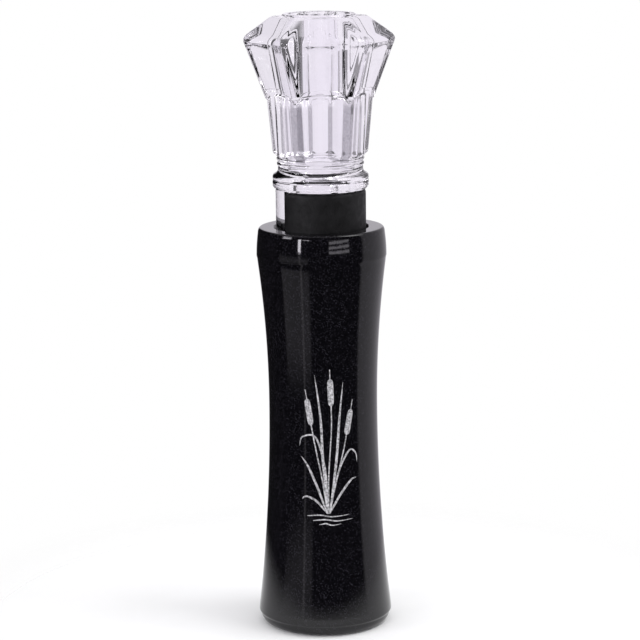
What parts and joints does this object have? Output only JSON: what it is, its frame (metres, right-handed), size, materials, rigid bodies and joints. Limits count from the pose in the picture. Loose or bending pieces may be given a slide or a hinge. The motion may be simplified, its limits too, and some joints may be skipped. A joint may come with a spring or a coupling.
{
  "type": "duck call",
  "caption": "Waisted hand-held duck call: barrel blown from one end, with a pull-out clear insert that carries a tone board, reeds and a wedge.",
  "frame": {"origin": "centre of the mouth end's face, on which the call stands", "axes": "+Z along the call's axis from the mouth end to the bell; -Y is the side the reeds and wedge are on"},
  "size_m": [0.03, 0.033, 0.1352],
  "materials": {
    "barrel_plastic": "high gloss",
    "clear_plastic": "polished clear",
    "wedge_rubber": "matt",
    "reed_film": "frosted film"
  },
  "bodies": {
    "barrel": {"barrel": "barrel_plastic"},
    "insert": {"insert": "clear_plastic", "wedge": "wedge_rubber"},
    "lower_reed": {"lower_reed": "reed_film"},
    "upper_reed": {"upper_reed": "reed_film"}
  },
  "joints": [
    {"name": "insert_pull", "type": "slide", "parent": "barrel", "child": "insert", "axis": [0, 0, 1], "range_m": [-0.0084, 0.055]},
    {"name": "lower_reed_flex", "type": "hinge", "parent": "insert", "child": "lower_reed", "pos_m": [0, -0.0009, 0.0773], "axis": [1, 0, 0], "range_deg": [-1.7, 1.7], "stiffness_Nm_per_rad": 0.019, "deforming": ["lower_reed"]},
    {"name": "upper_reed_flex", "type": "hinge", "parent": "insert", "child": "upper_reed", "pos_m": [0, -0.0009, 0.0773], "axis": [1, 0, 0], "range_deg": [-1.7, 1.7], "stiffness_Nm_per_rad": 0.0066, "deforming": ["upper_reed"]}
  ],
  "couplings": [
    {"joint": "upper_reed_flex", "follows": "lower_reed_flex", "ratio": 1}
  ]
}
